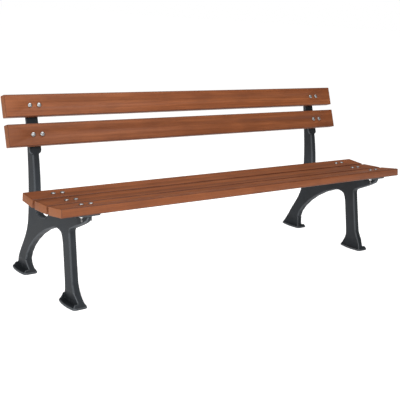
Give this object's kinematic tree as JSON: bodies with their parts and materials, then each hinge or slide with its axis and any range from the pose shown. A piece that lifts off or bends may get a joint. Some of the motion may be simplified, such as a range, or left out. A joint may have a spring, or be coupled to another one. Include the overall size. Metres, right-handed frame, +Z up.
{
  "type": "garden bench",
  "caption": "Slatted timber garden bench with a low back on cast-iron side frames with splayed rear legs, round-headed bolts and flared feet.",
  "frame": {"origin": "on the ground, below the middle of the bench's bounding box", "axes": "+X along the slats to the right for someone facing the bench, -Y out of the front of the seat, +Z up"},
  "size_m": [2, 0.68, 0.8272],
  "materials": {
    "painted_iron": "dark grey satin paint over as-cast iron",
    "stained_wood": "red-brown stained hardwood, satin, straight grain",
    "zinc_steel": "bright zinc-plated steel"
  },
  "bodies": {
    "root": {"side_frame_left": "painted_iron", "side_frame_right": "painted_iron", "back_slat_upper": "stained_wood", "back_slat_lower": "stained_wood", "seat_slat_rear": "stained_wood", "seat_slat_middle": "stained_wood", "seat_slat_front": "stained_wood", "bolt_back_upper_left_outer": "zinc_steel", "bolt_back_upper_left_inner": "zinc_steel", "bolt_back_upper_right_outer": "zinc_steel", "bolt_back_upper_right_inner": "zinc_steel", "bolt_back_lower_left_outer": "zinc_steel", "bolt_back_lower_left_inner": "zinc_steel", "bolt_back_lower_right_outer": "zinc_steel", "bolt_back_lower_right_inner": "zinc_steel", "bolt_seat_rear_left_outer": "zinc_steel", "bolt_seat_rear_left_inner": "zinc_steel", "bolt_seat_rear_right_outer": "zinc_steel", "bolt_seat_rear_right_inner": "zinc_steel", "bolt_seat_middle_left_outer": "zinc_steel", "bolt_seat_middle_left_inner": "zinc_steel", "bolt_seat_middle_right_outer": "zinc_steel", "bolt_seat_middle_right_inner": "zinc_steel", "bolt_seat_front_left_outer": "zinc_steel", "bolt_seat_front_left_inner": "zinc_steel", "bolt_seat_front_right_outer": "zinc_steel", "bolt_seat_front_right_inner": "zinc_steel", "nut_back_upper_left_outer": "zinc_steel", "nut_back_upper_left_inner": "zinc_steel", "nut_back_upper_right_outer": "zinc_steel", "nut_back_upper_right_inner": "zinc_steel", "nut_back_lower_left_outer": "zinc_steel", "nut_back_lower_left_inner": "zinc_steel", "nut_back_lower_right_outer": "zinc_steel", "nut_back_lower_right_inner": "zinc_steel", "nut_seat_rear_left_outer": "zinc_steel", "nut_seat_rear_left_inner": "zinc_steel", "nut_seat_rear_right_outer": "zinc_steel", "nut_seat_rear_right_inner": "zinc_steel", "nut_seat_middle_left_outer": "zinc_steel", "nut_seat_middle_left_inner": "zinc_steel", "nut_seat_middle_right_outer": "zinc_steel", "nut_seat_middle_right_inner": "zinc_steel", "nut_seat_front_left_outer": "zinc_steel", "nut_seat_front_left_inner": "zinc_steel", "nut_seat_front_right_outer": "zinc_steel", "nut_seat_front_right_inner": "zinc_steel"}
  },
  "joints": []
}
